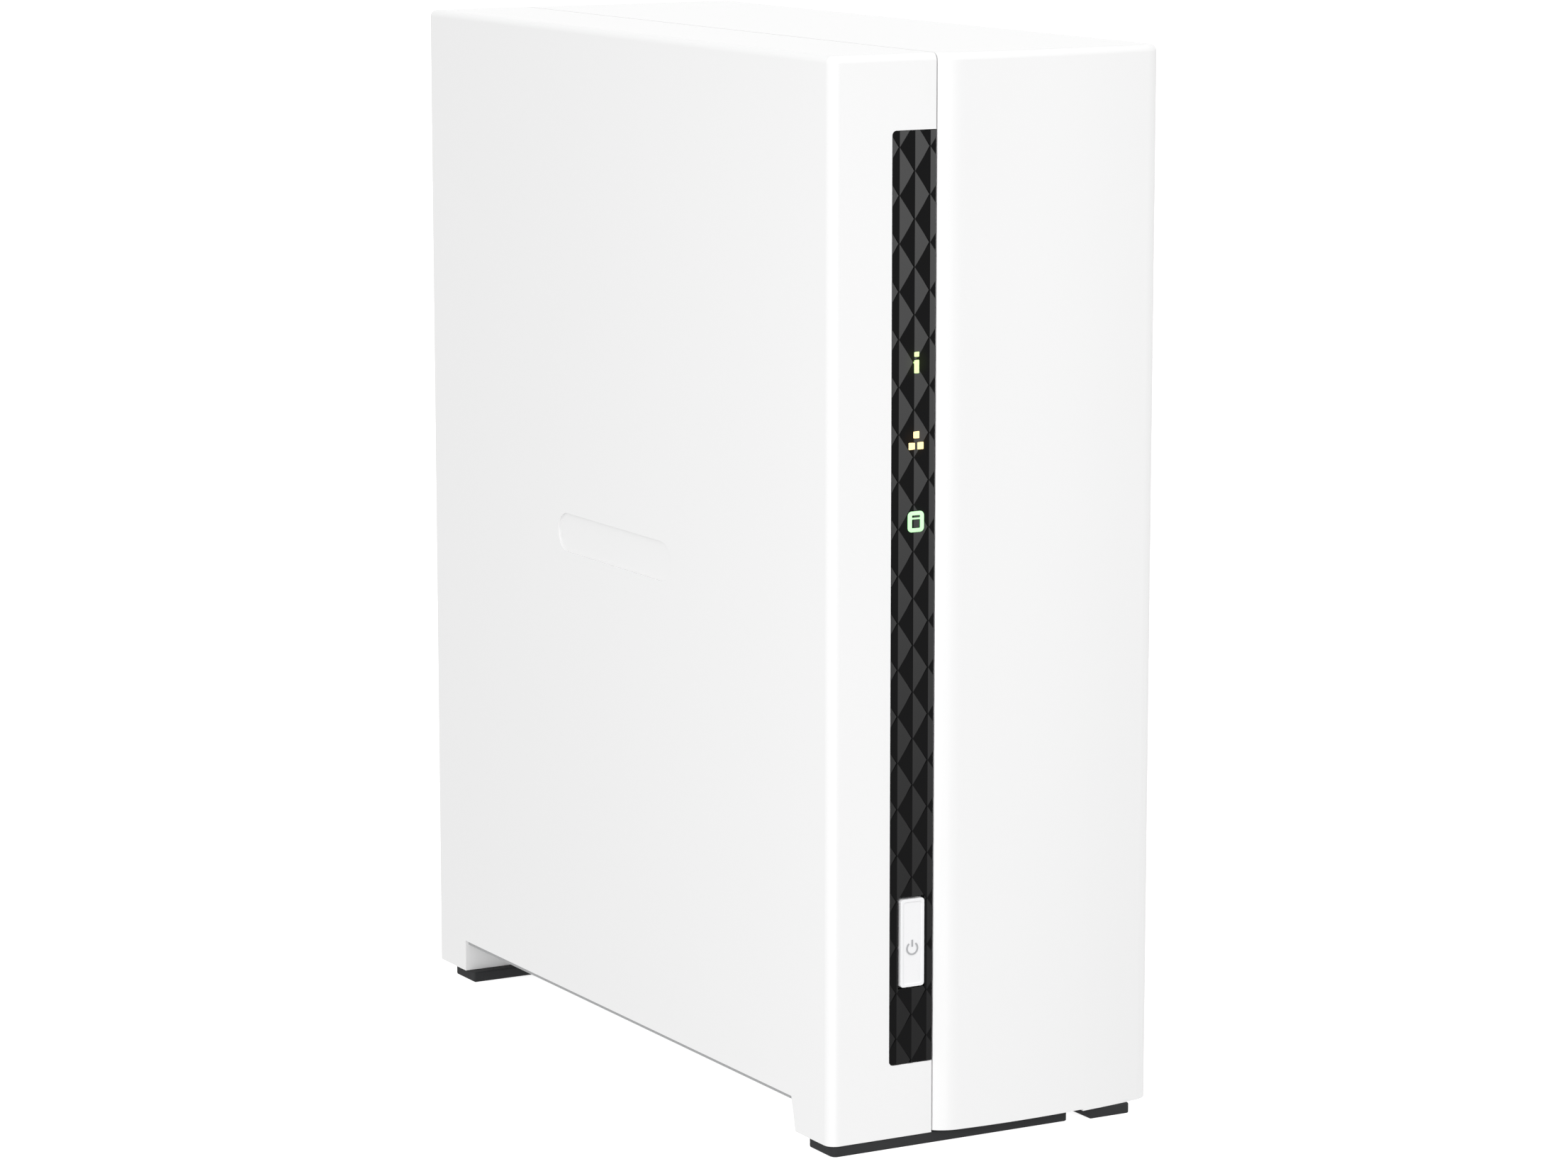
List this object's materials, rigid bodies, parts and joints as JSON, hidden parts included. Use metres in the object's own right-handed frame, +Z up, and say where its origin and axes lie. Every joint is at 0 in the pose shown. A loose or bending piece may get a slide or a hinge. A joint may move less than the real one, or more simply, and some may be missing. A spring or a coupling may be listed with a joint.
{
  "type": "network attached storage",
  "caption": "Upright single-bay network storage box: two-part white casing on rubber feet, dark faceted front trim with button and lit icons, rear fan and ports.",
  "frame": {"origin": "middle of the footprint, on the surface the rubber feet stand on", "axes": "+Z up, +X to the box's right seen from the front, front face looks along -Y"},
  "size_m": [0.0662, 0.1572, 0.1886],
  "materials": {
    "casing": "white ABS, fine satin gloss",
    "rear": "white ABS, fine matt",
    "trim": "piano black with diamond facets",
    "button": "white ABS, polished",
    "guide_status": "lit light guide",
    "guide_network": "lit light guide",
    "guide_disk": "lit light guide",
    "rubber": "dark grey rubber",
    "board": "green glass-epoxy circuit board",
    "chip": "black moulded epoxy",
    "alloy": "cast or extruded aluminium",
    "steel": "zinc-plated steel",
    "nickel": "nickel-plated sheet",
    "black_plastic": "black moulded plastic",
    "white_connector": "natural nylon",
    "capacitor": "aluminium can",
    "ferrite": "ferrite",
    "blue_plastic": "blue contact tongue in a nickel shell",
    "copper": "enamelled copper",
    "bronze": "sintered bronze",
    "cable": "black sleeved leads",
    "ribbon": "white flat cable"
  },
  "bodies": {
    "chassis": {"left_shell": "casing", "rear_panel": "rear", "faceted_trim": "trim", "power_switch": "nickel", "status_light_guide": "guide_status", "network_light_guide": "guide_network", "disk_light_guide": "guide_disk", "front_board": "board", "front_leds": "white_connector", "board_screws": "steel", "ribbon_cable": "ribbon", "ribbon_sockets": "white_connector", "main_board": "board", "processor": "chip", "heatsink": "alloy", "memory_chips": "chip", "flash_chip": "chip", "network_chip": "chip", "network_transformer": "chip", "inductors": "ferrite", "capacitors": "capacitor", "battery_holder": "black_plastic", "coin_cell": "nickel", "buzzer": "black_plastic", "riser_header": "black_plastic", "fan_header": "white_connector", "network_jack": "nickel", "usb3_port": "blue_plastic", "usb2_ports": "nickel", "power_jack": "black_plastic", "reset_switch": "black_plastic", "port_shield": "nickel", "sata_riser": "board", "sata_socket": "black_plastic", "bay_plate": "steel", "bay_posts": "steel", "bay_screws": "steel", "fan_frame": "black_plastic", "fan_bush": "bronze", "fan_stator": "copper", "fan_screws": "steel", "fan_cable": "cable", "panel_screws": "steel", "shell_feet": "rubber"},
    "power_button": {"power_button": "button", "power_plunger": "black_plastic"},
    "reset_button": {"reset_plunger": "white_connector"},
    "fan_wheel": {"fan_rotor": "black_plastic", "fan_shaft": "steel"},
    "cover": {"right_cover": "casing", "cover_feet": "rubber"},
    "upper_screw": {"cover_screw_upper": "steel"},
    "lower_screw": {"cover_screw_lower": "steel"},
    "drive": {"drive_case": "alloy", "drive_lid": "steel", "drive_lid_screws": "steel", "drive_board": "board", "drive_connector": "black_plastic", "drive_grommets": "rubber", "drive_shoulder_screws": "steel"}
  },
  "joints": [
    {"name": "power_press", "type": "slide", "parent": "chassis", "child": "power_button", "axis": [0, 1, 0], "range_m": [0, 0.0007], "stiffness_N_per_m": 1500, "springref_m": -0.0004},
    {"name": "reset_press", "type": "slide", "parent": "chassis", "child": "reset_button", "axis": [0, -1, 0], "range_m": [0, 0.0004], "stiffness_N_per_m": 1500, "springref_m": -0.0004},
    {"name": "fan_spin", "type": "hinge", "parent": "chassis", "child": "fan_wheel", "pos_m": [0, 0.06705, 0.1435], "axis": [0, 1, 0], "continuous": true},
    {"name": "cover_slide", "type": "slide", "parent": "chassis", "child": "cover", "axis": [0, -1, 0], "range_m": [0, 0.165]},
    {"name": "upper_screw_release", "type": "slide", "parent": "chassis", "child": "upper_screw", "axis": [0, 1, 0], "range_m": [0, 0.0045]},
    {"name": "lower_screw_release", "type": "slide", "parent": "chassis", "child": "lower_screw", "axis": [0, 1, 0], "range_m": [0, 0.0045]},
    {"name": "drive_lift", "type": "slide", "parent": "chassis", "child": "drive", "axis": [0, 0, 1], "range_m": [0, 0.009]}
  ]
}
